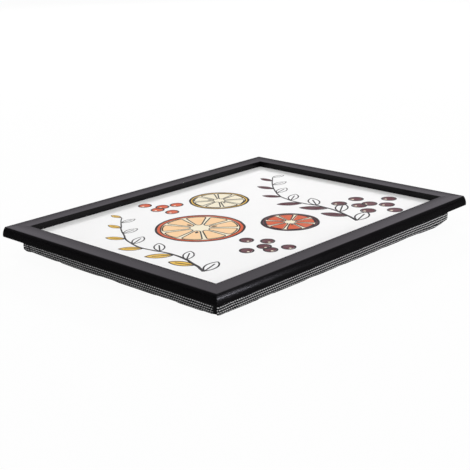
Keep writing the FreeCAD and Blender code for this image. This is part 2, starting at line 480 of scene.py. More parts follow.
# %% Nets inside rings
def filled_net(border, counts):
    """Rows of points across the space inside a ring, with the ring as their border."""
    across, back = counts
    loop = [Vector(point) for point in border]
    front = [loop[index] for index in range(across + 1)]
    right = [loop[across + index] for index in range(back + 1)]
    rear = [loop[2 * across + back - index] for index in range(across + 1)]
    left = [loop[-index] for index in range(back + 1)]
    rows = []
    for j in range(back + 1):
        v = (left[j].y - left[0].y) / (left[back].y - left[0].y)
        row = []
        for i in range(across + 1):
            u = (front[i].x - front[0].x) / (front[across].x - front[0].x)
            sides = front[i].lerp(rear[i], v) + left[j].lerp(right[j], u)
            row.append(sides - front[0].lerp(front[across], u).lerp(rear[0].lerp(rear[across], u), v))
        rows.append(row)
    return rows


def add_net(points, rows, first):
    """Adds a net's inner points and returns the index of every point, its border being the ring at first."""
    back, across = len(rows) - 1, len(rows[0]) - 1
    loop = 2 * (across + back)
    table = []
    for j, row in enumerate(rows):
        line = []
        for i, point in enumerate(row):
            if j == 0:
                line.append(first + i)
            elif i == across:
                line.append(first + across + j)
            elif j == back:
                line.append(first + 2 * across + back - i)
            elif i == 0:
                line.append(first + (loop - j) % loop)
            else:
                line.append(len(points))
                points.append(tuple(point))
        table.append(line)
    return table


print("nets ready")

# %% [markdown]
# A skin is a set of rings joined by quads, with a net inside the first ring and, where it is capped, another
# inside the last. Each face remembers its ring and column, so that the cloth map can tell the sides apart.

# %% Skins from rings
def skin(rings, corner_steps, side_steps, capped):
    """Points and faces of a cushion's skin. Each face has its ring and column, or None in a net."""
    counts = [2 * (corner_steps + steps) for steps in side_steps]
    loop = 2 * sum(counts)
    points, lengths = [], []
    for shape in rings:
        more, cloth = ring_points(shape, corner_steps, side_steps)
        points += more
        lengths.append(cloth)
    faces = []
    for level in range(len(rings) - 1):
        for column in range(loop):
            following = (column + 1) % loop
            below, above = level * loop, (level + 1) * loop
            quad = (below + column, below + following, above + following, above + column)
            faces.append((quad, (level, column)))
    nets = [(0, True)] + ([(len(rings) - 1, False)] if capped else [])
    for level, downwards in nets:
        first = level * loop
        table = add_net(points, filled_net(points[first:first + loop], counts), first)
        for j in range(counts[1]):
            for i in range(counts[0]):
                quad = (table[j][i], table[j][i + 1], table[j + 1][i + 1], table[j + 1][i])
                faces.append((quad[::-1] if downwards else quad, None))
    return points, faces, lengths, counts


def linked(name, data):
    """A new object in the scene."""
    item = bpy.data.objects.new(name, data)
    scene.collection.objects.link(item)
    return item


def mesh_object(name, points, faces):
    """A smooth mesh object in metres from points in millimetres and the faces of a skin."""
    mesh = bpy.data.meshes.new(name)
    places = [[value * MM for value in point] for point in points]
    mesh.from_pydata(places, [], [face for face, zone in faces])
    mesh.polygons.foreach_set("use_smooth", [True] * len(faces))
    mesh.update()
    return linked(name, mesh)


print("skins ready")

# %% [markdown]
# ## The foam
# The foam lies hidden in the cover. It has the cushion's form a little below the cloth and a flat top under
# the hardboard. Open-cell foam is pale yellow and full of small holes, which are the cell effect at half a
# millimetre with deep relief.

# %% Foam filling
FOAM_DEPTH = 3.4
FOAM_STEPS = (6, 5, 4)
FOAM_COLUMNS = (4, (16, 12))
FOAM_PALE = (0.72, 0.66, 0.44)
FOAM_DEEP = (0.60, 0.52, 0.30)
FOAM_CELL = 0.6
PORE_SHARE = 0.7
PORE_RELIEF = 0.4

points, faces = skin(cushion_rings(FOAM_DEPTH, *FOAM_STEPS), *FOAM_COLUMNS, True)[:2]
foam = mesh_object("foam_filling", points, faces)

foam_finish, shader, place = finish("foam_open_cell", 0.2)
pores = place_effect(cells, place=place, cell=FOAM_CELL * MM)["Height"]
blend = blended(PORE_SHARE, pores, drift(place, blotch=0.05))
dull = drift(place, blotch=0.004, low=0.85)
wire(shader, tinted(blend, FOAM_PALE, FOAM_DEEP), dull, pores, PORE_RELIEF)
foam.data.materials.append(foam_finish)
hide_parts("foam_pad")
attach(foam, "root")
print("foam faces:", len(foam.data.polygons))

# %% [markdown]
# ## The cover's cloth skin
# The cover is one sheet of spotted cloth that wraps the foam, turns over the edge of the hardboard and ends
# in a hem that is stapled there. Its skin has the cushion's rings, then the straight band inside the frame,
# the turn and the hem. A UV map in metres lays the cloth flat: below, the spots follow the plan, and on
# the sides their rows run along the edges, which is how the cloth was pulled round the board.

# %% Cover skin and cloth map
HEM_LIFT = 0.95 * CLOTH
HEM_HEIGHT = panel_high.z + HEM_LIFT
HEM_WIDTH = 28.0
HEM_STEPS = 6
TURN_SHARES = ((0.0, 0.32), (0.0, 0.64), (0.0, 0.85), (0.3, 0.96), (1.0, 1.0))
ROW_SHIFT = (0.5, 0.2, 0.5, 0.2)
ROLL_RING = 14
COVER_STEPS = (ROLL_RING, 9, 8)
COVER_COLUMNS = (11, (46, 36))

cover_rings = cushion_rings(0.0, *COVER_STEPS)
for in_share, up_share in TURN_SHARES:
    height = SHOULDER + (HEM_HEIGHT - SHOULDER) * up_share
    cover_rings.append((CLOTH * in_share, height, BAND_CORNER - CLOTH * in_share, 0.0))
for step in range(1, HEM_STEPS + 1):
    share = step / HEM_STEPS
    radius = (BAND_CORNER - CLOTH) * (1 - share) + CLOTH * share
    cover_rings.append((CLOTH + HEM_WIDTH * share, HEM_HEIGHT, radius, 0.0))
points, faces, lengths, counts = skin(cover_rings, *COVER_COLUMNS, False)
cover = mesh_object("cushion_cloth_cover", points, faces)

fall_length = [0.0]
for inner, outer in zip(cover_rings, cover_rings[1:]):
    fall_length.append(fall_length[-1] + math.hypot(outer[0] - inner[0], outer[1] - inner[1]))
fall_length = [length - fall_length[ROLL_RING] for length in fall_length]
side_starts = [sum((counts * 2)[:index]) for index in range(4)]


def side_of(column):
    """The side that a column belongs to, and its place on it."""
    index = max(side for side in range(4) if side_starts[side] <= column)
    return index, column - side_starts[index]


cloth_map = cover.data.uv_layers.new(name="Cloth")
for polygon, (face, zone) in zip(cover.data.polygons, faces):
    for turn, loop in enumerate(polygon.loop_indices):
        if zone is None or zone[0] < ROLL_RING:
            spot = points[face[turn]]
        else:
            side, column = side_of(zone[1])
            level = zone[0] + (turn >= 2)
            spot = (lengths[level][side][column + (turn in (1, 2))], fall_length[level] + ROW_SHIFT[side])
        cloth_map.data[loop].uv = (spot[0] * MM, spot[1] * MM)
print("cover faces:", len(faces), "rings:", len(cover_rings), "columns:", 2 * sum(counts))

# %% [markdown]
# ## Filling the cover
# A real cover is pulled over foam that is a little too big for it. The cloth simulation does the same: the
# skin starts slightly too small, the hem and the resting face are held, and a pressure from inside fills
# the side and the lower roll out.

# %% Simulate the filling
START_INSET = 0.9
START_UNEVEN = 0.12
SIM_FRAMES = 20
SIM_SETTINGS = {
    "quality": 6,
    "mass": 0.2,
    "tension_stiffness": 20,
    "compression_stiffness": 20,
    "shear_stiffness": 8,
    "bending_stiffness": 0.4,
    "use_pressure": True,
    "uniform_pressure_force": 4.0,
    "shrink_min": -0.015,
    "vertex_group_mass": "held",
}
SHORT_WAVES = (17.0, 23.0)
SHORT_STARTS = (1.3, 0.4)
LONG_WAVES = (41.0, 31.0)
FLAT_MARGIN = 0.5
TOUCH = 0.02
HOLD_SLIP = 0.05

form = np.array(points)
x, y, z = form.T
normals = np.array([vertex.normal[:] for vertex in cover.data.vertices])
flat_x, flat_y = [half - CROWN_RUN + FLAT_MARGIN for half in BAND_HALF]
resting = (np.abs(x) < flat_x) & (np.abs(y) < flat_y) & (z < TOUCH)
held = (z > SHOULDER - HOLD_SLIP) | resting
uneven = np.sin(x / SHORT_WAVES[0] + SHORT_STARTS[0]) * np.sin(y / SHORT_WAVES[1] + SHORT_STARTS[1])
uneven += np.sin(x / LONG_WAVES[0]) * np.cos(y / LONG_WAVES[1])
start = form - (normals * (START_INSET + START_UNEVEN * uneven)[:, None]) * (~held)[:, None]
swell = np.zeros(len(form))
cover.data.vertices.foreach_set("co", (start * MM).ravel())
cover.data.update()
group = cover.vertex_groups.new(name="held")
group.add([int(index) for index in np.flatnonzero(held)], 1.0, "REPLACE")
cloth = cover.modifiers.new("filling", "CLOTH")
for key, value in SIM_SETTINGS.items():
    setattr(cloth.settings, key, value)
cloth.settings.effector_weights.gravity = 0.0
for step in range(1, SIM_FRAMES + 1):
    scene.frame_set(step)
filled = cover.evaluated_get(bpy.context.evaluated_depsgraph_get())
swollen = np.array([vertex.co[:] for vertex in filled.data.vertices]) / MM
cover.modifiers.remove(cloth)
cover.vertex_groups.clear()
scene.frame_set(1)
swell = np.einsum("ij,ij->i", swollen - form, normals)
print("swell in mm: mean", round(float(swell.mean()), 2), "most", round(float(swell.max()), 2))

# %% [markdown]
# The size was measured, so only the unevenness of the filling is kept: along each side the usual swell of a
# ring is taken off, how far a point may move is capped, and nothing sinks below the floor. The stuffing isn't
# even either. In the photograph the front hangs fuller towards the right, the left side is a little flatter,
# most of all near its back corner, and the corners are drawn in, so each side also has a slack along its
# length, in shares and millimetres. It grows from the board's edge down to the roll.

# %% Keep the unevenness
MOST_SWELL = 0.4
MOST_DIP = 0.15
SIDE_SLACK = (
    ((0.0, 0.08, 0.5, 0.78, 0.93, 0.975, 1.0), (-1.0, -0.5, 0.3, 0.8, 2.2, 0.2, -1.6)),
    ((0.0, 0.06, 0.2, 1.0), (-2.6, -1.0, 0.0, 0.0)),
    ((0.0, 0.9, 1.0), (0.0, 0.0, -1.4)),
    ((0.0, 0.12, 0.3, 0.92, 1.0), (-3.2, -2.2, -1.2, -1.2, -0.9)),
)

loop = 2 * sum(counts)
levels = len(cover_rings)
ring_swell = swell[:levels * loop].reshape(levels, loop)
for side, first in enumerate(side_starts):
    columns = slice(first, first + counts[side % 2])
    ring_swell[:, columns] -= np.median(ring_swell[:, columns], axis=1, keepdims=True)
heights = form[:levels * loop, 2].reshape(levels, loop)
kept = np.zeros(len(form))
kept[:levels * loop] = np.clip(ring_swell, -MOST_DIP, MOST_SWELL).ravel()
kept[held] = 0.0
slack = np.zeros((levels, loop))
for side, first in enumerate(side_starts):
    for level in range(levels):
        cloth = np.array(lengths[level][side][:-1])
        share = 0.5 + 0.5 * cloth / max(lengths[level][side])
        slack[level, first:first + len(cloth)] = np.interp(share, *SIDE_SLACK[side])
slack *= np.clip(1 - (heights / SHOULDER) ** 2, 0.0, 1.0)
kept[:levels * loop] += slack.ravel() * (~held[:levels * loop])
print("kept swell in mm:", round(float(kept.min()), 2), "to", round(float(kept.max()), 2))

# %% [markdown]
# ## Folds at the corners
# At each corner the cloth is folded over itself. The folded edge of the long side stands proud, and on the
# short side a crease sinks in beside it. At two corners the flap goes on round the corner for some way, so
# the crease lies further along. The columns are crowded there, so a fold is a plain shift of each point along
# its normal, by how far it is from the corner and how high it is. The crease is darkened with painted shade:
# an attribute marks it, and the finish leaves the white spots out there, so the cloth reads black.

# %% Fold the corners
FOLD_LIFT = 0.7
FOLD_REACH = (2.5, 20.0)
CREASE_DEPTH = 0.6
FLAP_WIDTH = 9.0
FLAP_TUCK = 1.8
PLAIN_TUCK = 5.6
FOLD_TOP = (14.5, 17.8)
FOLD_RUN_OUT = 30.0
CREASE_SHADE_END = (0.8, 1.2)


def smooth(low, high, value):
    """0 below low, 1 above high and an even ramp between them."""
    share = np.clip((value - low) / (high - low), 0.0, 1.0)
    return share * share * (3 - 2 * share)


fold = np.zeros((levels, loop))
crease_shade = np.zeros((levels, loop))
for level in range(levels):
    inwards = max(0.0, -fall_length[level])
    for side, first in enumerate(side_starts):
        cloth = np.array(lengths[level][side][:-1])
        from_corner = max(lengths[level][side]) - np.abs(cloth)
        place = slice(first, first + len(cloth))
        fade = (1 - smooth(*FOLD_TOP, heights[level, first])) * (1 - smooth(0.0, FOLD_RUN_OUT, inwards))
        if side % 2 == 0:
            fold[level, place] = FOLD_LIFT * (1 - smooth(*FOLD_REACH, from_corner)) * fade
            continue
        flapped = cloth < 0
        flap = np.where(flapped, FLAP_WIDTH, 0.0)
        beyond = (from_corner - flap) / np.where(flapped, FLAP_TUCK, PLAIN_TUCK)
        crease = -CREASE_DEPTH * np.exp(-((2 * beyond - 1) ** 2))
        fold[level, place] = np.where(beyond <= 0, FOLD_LIFT, crease) * fade
        # painted shade: this marks the crease so that the finish leaves its white spots out and it reads
        # black
        crease_shade[level, place] = (beyond > 0) * (1 - smooth(*CREASE_SHADE_END, beyond))
kept[:levels * loop] += fold.ravel()
settled = form + normals * kept[:, None]
settled[:, 2] = np.maximum(settled[:, 2], 0.0)
crease_shade_mask = np.zeros(len(form))
crease_shade_mask[:levels * loop] = crease_shade.ravel()
print("folds in mm: proud by", round(float(fold.max()), 2), "and sunk by", round(float(-fold.min()), 2))

# %% [markdown]
# The shaped skin gets its thickness now, inwards from the outer face. The copy that comes out of the modifier
# is a plain closed mesh, with the cloth map and the attribute of the painted crease shade still on it.

# %% Shape the cover
cover.data.vertices.foreach_set("co", (settled * MM).ravel())
# the attribute carries the painted crease shade to the finish
crease_shade_layer = cover.data.attributes.new("painted_crease_shade", "FLOAT", "POINT")
crease_shade_layer.data.foreach_set("value", crease_shade_mask)
cover.data.update()
wall = cover.modifiers.new("cloth_thickness", "SOLIDIFY")
wall.thickness = CLOTH * MM
wall.offset = -1.0
depsgraph = bpy.context.evaluated_depsgraph_get()
shaped = bpy.data.meshes.new_from_object(cover.evaluated_get(depsgraph))
cover.modifiers.remove(wall)
cover.data = shaped
print("cover of", len(shaped.polygons), "faces,", round(CLOTH, 1), "mm thick")

# %% [markdown]
# ## The spotted cloth
# The cloth is black plain weave with rows of small white spots, each row shifted by half a spot. Both are
# effects on the cloth map, so they bend with the cloth: the weave is two sets of threads that take turns on
# top, and a spot is the distance from the middle of its cell.

# %% Weave and spot effects
THREAD_SHADE = (0.4, 0.6)

weave, entry, result = effect(
    "Plain weave",
    [("Place", VECTOR, None), ("Thread", FLOAT, 0.0004)],
    [("Height", FLOAT), ("Shade", FLOAT)],
)
parts = split(entry["Place"])
warp, weft = [calc("DIVIDE", part, entry["Thread"]) for part in (parts[0], parts[1])]
order = calc("ADD", calc("FLOOR", warp), calc("FLOOR", weft))
over = calc("GREATER_THAN", calc("FLOORED_MODULO", order, 2.0), 0.5)
waves = [calc("SINE", times(thread, math.pi)) for thread in (warp, weft)]
height = between(over, *[calc("ABSOLUTE", wave) for wave in waves])
link(height, result["Height"])
# Shade is painted shade of the weave: lower where the threads dip
link(calc("MULTIPLY_ADD", height, *THREAD_SHADE), result["Shade"])

spots, entry, result = effect(
    "Pin spots",
    [
        ("Place", VECTOR, None),
        ("Pitch", FLOAT, 0.003),
        ("Row", FLOAT, 0.0026),
        ("Radius", FLOAT, 0.0008),
        ("Stretch", FLOAT, 1.0),
        ("Soft", FLOAT, 0.0001),
    ],
    [("Mask", FLOAT)],
)


def from_middle(cell, size):
    """How far a place is from the middle of its cell."""
    return times(calc("SUBTRACT", calc("FRACT", cell), 0.5), size)


parts = split(entry["Place"])
row = calc("DIVIDE", parts[1], entry["Row"])
stagger = times(calc("FLOORED_MODULO", calc("FLOOR", row), 2.0), 0.5)
column = calc("ADD", calc("DIVIDE", parts[0], entry["Pitch"]), stagger)
off_u = from_middle(column, calc("DIVIDE", entry["Pitch"], entry["Stretch"]))
off_v = from_middle(row, entry["Row"])
away = calc("SQRT", calc("MULTIPLY_ADD", off_u, off_u, times(off_v, off_v)))
full = calc("SUBTRACT", entry["Radius"], entry["Soft"])
empty = calc("ADD", entry["Radius"], entry["Soft"])
rim = ramp(away, full, empty, 1.0, 0.0, interpolation_type="SMOOTHSTEP")
link(rim, result["Mask"])
print("effects:", weave.name, "and", spots.name)

# %% [markdown]
# The finish puts the spots in the colour, leaves them out in the creases as painted shade, and raises them
# a little in the bump, because they are printed with thick ink. The spots' white is also a little darker
# where the weave dips, which is painted shade as well.

# %% Cover cloth
SPOT_SIZES = {"pitch": 3.0, "row": 2.6, "radius": 0.57, "soft": 0.1}
SPOT_STRETCH = 2.05
SPOT_LIFT = 0.35
SPOT_WHITE_SHADED_AND_LIT = ((0.80, 0.80, 0.81), (0.94, 0.94, 0.95))
CLOTH_BLACKS = ((0.010, 0.010, 0.011), (0.016, 0.016, 0.018))
CLOTH_ROUGHNESS = (-0.15, 0.98)
CLOTH_RELIEF = 0.12
THREAD = 0.42

cloth_finish, shader, place = finish("spotted_cloth", 0.15)
tree = cloth_finish.node_tree
flat = make(tree, "ShaderNodeUVMap", uv_map="Cloth").outputs[0]
threads = place_effect(weave, place=flat, thread=THREAD * MM)
sizes = {name: size * MM for name, size in SPOT_SIZES.items()}
dots = place_effect(spots, place=flat, stretch=SPOT_STRETCH, **sizes)
# painted shade: no spots where the crease is marked, so the crease reads black
shaded_in_crease = make(tree, "ShaderNodeAttribute", attribute_name="painted_crease_shade").outputs["Fac"]
printed = times(dots["Mask"], calc("SUBTRACT", 1.0, shaded_in_crease))
black = tinted(drift(place, blotch=0.03), *CLOTH_BLACKS)
# painted shade: the spots' white is darker where the weave dips
weave_shaded_white = tinted(threads["Shade"], *SPOT_WHITE_SHADED_AND_LIT)
nap = calc("MULTIPLY_ADD", threads["Shade"], *CLOTH_ROUGHNESS)
raised = calc("MULTIPLY_ADD", printed, SPOT_LIFT, threads["Height"])
wire(shader, mixed(printed, black, weave_shaded_white), nap, raised, CLOTH_RELIEF)
cover.data.materials.clear()
cover.data.materials.append(cloth_finish)
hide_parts("cushion_cover")
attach(cover, "root")
print("cover triangles:", 2 * len(cover.data.polygons))

# %% [markdown]
# ## The printed design
# The board carries a loose hand-inked print. This one is a design of our own: fruit slices, leafy sprigs and
# berries in black line with flat plum, coral, amber and peach fills. It could be painted in the laminate's
# material, but ink films with a real edge stay sharp in any close view. First come the inks: each is a flat
# colour that is laid a little unevenly, under the same clear gloss as the white around it.

# %% Inks
INK_COLOURS = {
    "black": (0.012, 0.010, 0.011),
    "plum": (0.105, 0.028, 0.036),
    "coral": (0.62, 0.105, 0.035),
    "amber": (0.80, 0.50, 0.075),
    "peach": (0.90, 0.60, 0.33),
    "cream": (0.87, 0.80, 0.62),
}
INK_SPECULAR = 0.04
INK_THINNING = 0.06


def ink(name, colour):
    """A printing ink, slightly uneven, under the clear layer."""
    material, shader, place = finish("ink_" + name, INK_SPECULAR)
    thin = tuple(value + INK_THINNING * (1 - value) for value in colour)
    wash = tinted(drift(place, blotch=0.011), colour, thin)
    wire(shader, wash, drift(place, **CLEAR_LAYER))
    return material


inks = {name: ink(name, colour) for name, colour in INK_COLOURS.items()}
print("inks:", list(inks))

# %% [markdown]
# The motifs follow rules: segments repeat round a slice, leaves follow a stem, berries fill a spiral. That is
# what Geometry Nodes are for. The trees share a few steps: `film` makes a closed thin film of a flat shape,
# `stroke` draws a line as a flattened tube, `wobble` shakes a curve as a hand does, and `inked` gives a
# colour. Films of different colours lie at different heights, a few hundredths of a millimetre apart.

# %% Steps for the motif trees
FILM = 0.02 * MM
WELD = FILM / 20
MISPRINT = (1.1 * MM, -0.8 * MM)
NIB_SIDES = 6
LINE_FLATNESS = (1.0, 1.0, 0.03)
WOBBLE_SCALE = 55.0
WOBBLE_STEP = (0.37, 0.11)
GEOMETRY = "NodeSocketGeometry"
INTEGER = "NodeSocketInt"
INK = "NodeSocketMaterial"


def motif_tree(name, inputs):
    """An empty Geometry Nodes tree with named inputs, listed by their kind."""
    tree = bpy.data.node_groups.new(name, "GeometryNodeTree")
    tree.is_modifier = True
    named = [(label, kind, None) for kind, labels in inputs.items() for label in labels]
    return tree, *sockets(tree, [("Geometry", GEOMETRY, None)] + named, [("Geometry", GEOMETRY)])


def vector(x=0.0, y=0.0, z=0.0):
    """A vector of three values or sockets."""
    return out("ShaderNodeCombineXYZ", {0: x, 1: y, 2: z})


def circle(sides, radius):
    """A circle as a curve."""
    return out("GeometryNodeCurvePrimitiveCircle", {"Resolution": sides, "Radius": radius})


def turned(angle):
    """A rotation about the upright axis."""
    return out("FunctionNodeEulerToRotation", {0: vector(z=angle)})


def moved(geometry, x=0.0, y=0.0, z=0.0):
    """Geometry shifted by sockets or values."""
    shift = make(geometry.id_data, "ShaderNodeCombineXYZ", {0: x, 1: y, 2: z}).outputs[0]
    return out("GeometryNodeTransform", {"Geometry": geometry, "Translation": shift})


def scaled(geometry, scale):
    """Geometry stretched along the axes."""
    return out("GeometryNodeTransform", {"Geometry": geometry, "Scale": scale})


def joined(*parts):
    """Parts as one geometry."""
    both = make(parts[0].id_data, "GeometryNodeJoinGeometry")
    for part in parts:
        link(part, both.inputs[0])
    return both.outputs[0]


def copies(points, instance, **more):
    """One copy of an instance on every point."""
    named = {key.title(): value for key, value in more.items()}
    return out("GeometryNodeInstanceOnPoints", {"Points": points, "Instance": instance, **named})


def film(curve, layer, misprint=False):
    """A closed curve filled as a thin closed film that lies on its layer."""
    flat = out("GeometryNodeFillCurve", {"Curve": curve}, mode="NGONS")
    rise = {"Mesh": flat, "Offset Scale": FILM, "Individual": False}
    raised = out("GeometryNodeExtrudeMesh", rise)
    both = joined(raised, out("GeometryNodeFlipFaces", {"Mesh": flat}))
    closed = out("GeometryNodeMergeByDistance", {"Geometry": both, "Distance": WELD})
    x, y = MISPRINT if misprint else (0.0, 0.0)
    return moved(closed, x, y, layer * FILM)


def stroke(curve, width, layer, taper=1.0):
    """A curve drawn as an inked line of that width."""
    nib = circle(NIB_SIDES, times(width, 0.5))
    line = {"Curve": curve, "Profile Curve": nib, "Scale": taper, "Fill Caps": True}
    tube = out("GeometryNodeCurveToMesh", line)
    return moved(scaled(tube, LINE_FLATNESS), z=layer * FILM)


def wobble(curve, amount, seed):
    """A curve with its points shaken by soft noise."""
    spot = make(curve.id_data, "GeometryNodeInputPosition").outputs[0]
    shifted = vector_calc("ADD", spot, (*[step * seed for step in WOBBLE_STEP], 0.0))
    cloud = {"Vector": shifted, "Scale": WOBBLE_SCALE, "Detail": 1.0}
    noise = fed("ShaderNodeTexNoise", cloud)["Color"]
    centred = vector_calc("SUBTRACT", noise, (0.5, 0.5, 0.5))
    push = vector_calc("MULTIPLY", centred, (amount, amount, 0.0))
    return out("GeometryNodeSetPosition", {"Geometry": curve, "Offset": push})


def inked(colour, *parts):
    """Parts joined and given one ink."""
    solid = out("GeometryNodeRealizeInstances", {"Geometry": joined(*parts)})
    return out("GeometryNodeSetMaterial", {"Geometry": solid, "Material": colour})


print("steps ready")

# %% [markdown]
# A fruit slice is a rind disc, a paler disc inside it and a ring of segments. One segment is a pie-shaped arc
# with rounded corners, moved out a little from the middle, and it is placed on as many points as there are
# segments, each turned one step further. Every third segment has a pip. The sizes are shares of the radius
# of the flesh.

# %% Fruit slice tree
PITH_SHARE = 0.9
WEDGE_SWEEP = 0.86
WEDGE_ROUND = 0.09
WEDGE_OUT = 0.055
PIP_SIZE = 0.045
PIP_SHAPE = (1.9, 1.0, 1.0)
PIP_OUT = 0.42
RIND_WOBBLE = 0.0022
RIND_SIDES = 72
PIP_SIDES = 12
WEDGE_POINTS = 9
ROUND_POINTS = 3
THIN_SHARE = 0.6

tree, entry, result = motif_tree("Fruit slice", {
    FLOAT: ("Radius", "Rind", "Line"),
    INTEGER: ("Segments",),
    INK: ("Rind ink", "Pith ink", "Flesh ink", "Line ink"),
})
pith_radius = calc("SUBTRACT", entry["Radius"], entry["Rind"])
flesh_radius = calc("SUBTRACT", pith_radius, times(entry["Rind"], PITH_SHARE))
radii = (entry["Radius"], pith_radius)
rind, pith = [wobble(circle(RIND_SIDES, radius), RIND_WOBBLE, seed=1) for radius in radii]
step = calc("DIVIDE", 2 * math.pi, entry["Segments"])
sweep = times(step, WEDGE_SWEEP)
pie = {"Resolution": WEDGE_POINTS, "Radius": flesh_radius, "Connect Center": True}
swept = {"Start Angle": times(sweep, -0.5), "Sweep Angle": sweep}
arc = out("GeometryNodeCurveArc", {**pie, **swept})
fillet = times(flesh_radius, WEDGE_ROUND)
rounding = {"Curve": arc, "Count": ROUND_POINTS, "Radius": fillet, "Limit Radius": True}
wedge = out("GeometryNodeFilletCurve", rounding, mode="POLY")
wedge = moved(wedge, times(flesh_radius, WEDGE_OUT))
pip = scaled(circle(PIP_SIDES, times(flesh_radius, PIP_SIZE)), PIP_SHAPE)
pip = moved(pip, times(flesh_radius, PIP_OUT))
around = out("GeometryNodePoints", {"Count": entry["Segments"]})
index = make(tree, "GeometryNodeInputIndex").outputs[0]
turn = turned(times(index, step))
third = calc("GREATER_THAN", calc("FLOORED_MODULO", index, 3.0), 1.5)
thin_line = times(entry["Line"], THIN_SHARE)
lines = [
    stroke(rind, entry["Line"], layer=3),
    stroke(pith, thin_line, layer=3),
    copies(around, stroke(wedge, thin_line, layer=4), rotation=turn),
    copies(around, film(pip, layer=4), rotation=turn, selection=third),
]
drawing = joined(
    inked(entry["Rind ink"], film(rind, layer=0, misprint=True)),
    inked(entry["Pith ink"], film(pith, layer=1)),
    inked(entry["Flesh ink"], copies(around, film(wedge, layer=2, misprint=True), rotation=turn)),
    inked(entry["Line ink"], *lines),
)
link(drawing, result["Geometry"])
slice_tree = tree
print("tree:", tree.name)

# %% [markdown]
# A sprig is drawn along any curve. Leaves stand on points along the stem, left and right in turn, smaller
# towards the tip. A leaf is a circle squeezed to a point at both ends. Every second leaf is filled and the
# others are left as line, which is what makes a print of this kind look light.

# %% Sprig tree
STEM_POINTS = 60
STEM_WIDTHS = (1.5, 0.5)
STEM_WOBBLE = 0.003
LEAF_SQUEEZE = 1.7
LEAF_SIDES = 28
LEAF_PLACE = (0.5, 0.56)
LEAF_BREADTH = 0.22
FINE_SHARE = 0.75
VEIN_SHARE = 0.82
SWING_JITTER = 0.16
SIZE_JITTER = (0.88, 1.08)
SIZE_SEED = 7
TIP_SHRINK = (-0.5, 1.05)

tree, entry, result = motif_tree("Leafy sprig", {
    INTEGER: ("Leaves", "Seed"),
    FLOAT: ("Leaf", "Spread", "Line"),
    INK: ("Leaf ink", "Line ink"),
})


def random(low, high, seed):
    """A random number for every leaf."""
    return fed("FunctionNodeRandomValue", {2: low, 3: high, "Seed": seed})[1]


stem = out("GeometryNodeResampleCurve", {"Curve": entry["Geometry"], "Count": STEM_POINTS})
thinning = ramp(make(tree, "GeometryNodeSplineParameter").outputs["Factor"], 0.0, 1.0, *STEM_WIDTHS)
place = split(make(tree, "GeometryNodeInputPosition").outputs[0])
length = times(calc("MULTIPLY_ADD", place[0], *LEAF_PLACE), entry["Leaf"])
squeeze = calc("POWER", calc("ABSOLUTE", place[1]), LEAF_SQUEEZE)
breadth = times(squeeze, calc("SIGN", place[1]), entry["Leaf"], LEAF_BREADTH)
round_leaf = {"Resolution": LEAF_SIDES, "Radius": 1.0}
unit = make(tree, "GeometryNodeCurvePrimitiveCircle", round_leaf).outputs[0]
shape = {"Geometry": unit, "Position": vector(length, breadth)}
leaf = out("GeometryNodeSetPosition", shape)
tip = vector(times(entry["Leaf"], VEIN_SHARE))
vein = out("GeometryNodeCurvePrimitiveLine", {"Start": (0.0, 0.0, 0.0), "End": tip})
knots = fed("GeometryNodeCurveToPoints", {"Curve": stem, "Count": entry["Leaves"]}, mode="COUNT")
run = split(knots["Tangent"])
index = make(tree, "GeometryNodeInputIndex").outputs[0]
parity = calc("FLOORED_MODULO", index, 2.0)
side = calc("MULTIPLY_ADD", parity, 2.0, -1.0)
jitter = random(-SWING_JITTER, SWING_JITTER, entry["Seed"])
swing = calc("MULTIPLY_ADD", side, entry["Spread"], jitter)
turn = turned(calc("ADD", calc("ARCTAN2", run[1], run[0]), swing))
far = calc("DIVIDE", index, entry["Leaves"])
size = random(*SIZE_JITTER, calc("ADD", entry["Seed"], SIZE_SEED))
size = times(size, calc("MULTIPLY_ADD", far, *TIP_SHRINK))
thin_line = times(entry["Line"], FINE_SHARE)


def on_stem(instance, **more):
    """One copy on every knot of the stem."""
    return copies(knots[0], instance, rotation=turn, scale=size, **more)


second = calc("GREATER_THAN", parity, 0.5)
lines = [
    stroke(wobble(stem, STEM_WOBBLE, seed=3), entry["Line"], layer=2, taper=thinning),
    on_stem(stroke(leaf, thin_line, layer=2)),
    on_stem(stroke(vein, thin_line, layer=2)),
]
drawing = joined(
    inked(entry["Leaf ink"], on_stem(film(leaf, layer=0, misprint=True), selection=second)),
    inked(entry["Line ink"], *lines),
)
link(drawing, result["Geometry"])
sprig_tree = tree
print("tree:", tree.name)

# %% [markdown]
# Berries sit on a spiral with the golden angle between them, which spreads them evenly over a round cluster.
# Each has a loose outline and a small pale glint.

# %% Berry tree
GOLDEN_ANGLE = 2.399963
BERRY_SPACING = 1.75
BERRY_WOBBLE = 0.0016
BERRY_SIDES = 26
GLINT_SIDES = 10
GLINT_SIZE = 0.2
GLINT_PLACE = (-0.35, 0.4)

tree, entry, result = motif_tree("Berry cluster", {
    INTEGER: ("Berries",),
    FLOAT: ("Berry", "Line"),
    INK: ("Berry ink", "Glint ink", "Line ink"),
})
index = make(tree, "GeometryNodeInputIndex").outputs[0]
angle = times(index, GOLDEN_ANGLE)
radius = times(calc("SQRT", index), times(entry["Berry"], BERRY_SPACING))
spot = vector(*[times(radius, calc(wave, angle)) for wave in ("COSINE", "SINE")])
cluster = out("GeometryNodePoints", {"Count": entry["Berries"], "Position": spot})
outline = wobble(circle(BERRY_SIDES, entry["Berry"]), BERRY_WOBBLE, seed=2)
glint = circle(GLINT_SIDES, times(entry["Berry"], GLINT_SIZE))
glint = moved(glint, *[times(entry["Berry"], share) for share in GLINT_PLACE])
drawing = joined(
    inked(entry["Berry ink"], copies(cluster, film(outline, layer=0, misprint=True))),
    inked(entry["Glint ink"], copies(cluster, film(glint, layer=1))),
    inked(entry["Line ink"], copies(cluster, stroke(outline, entry["Line"], layer=2))),
)
link(drawing, result["Geometry"])
berry_tree = tree
print("tree:", tree.name)

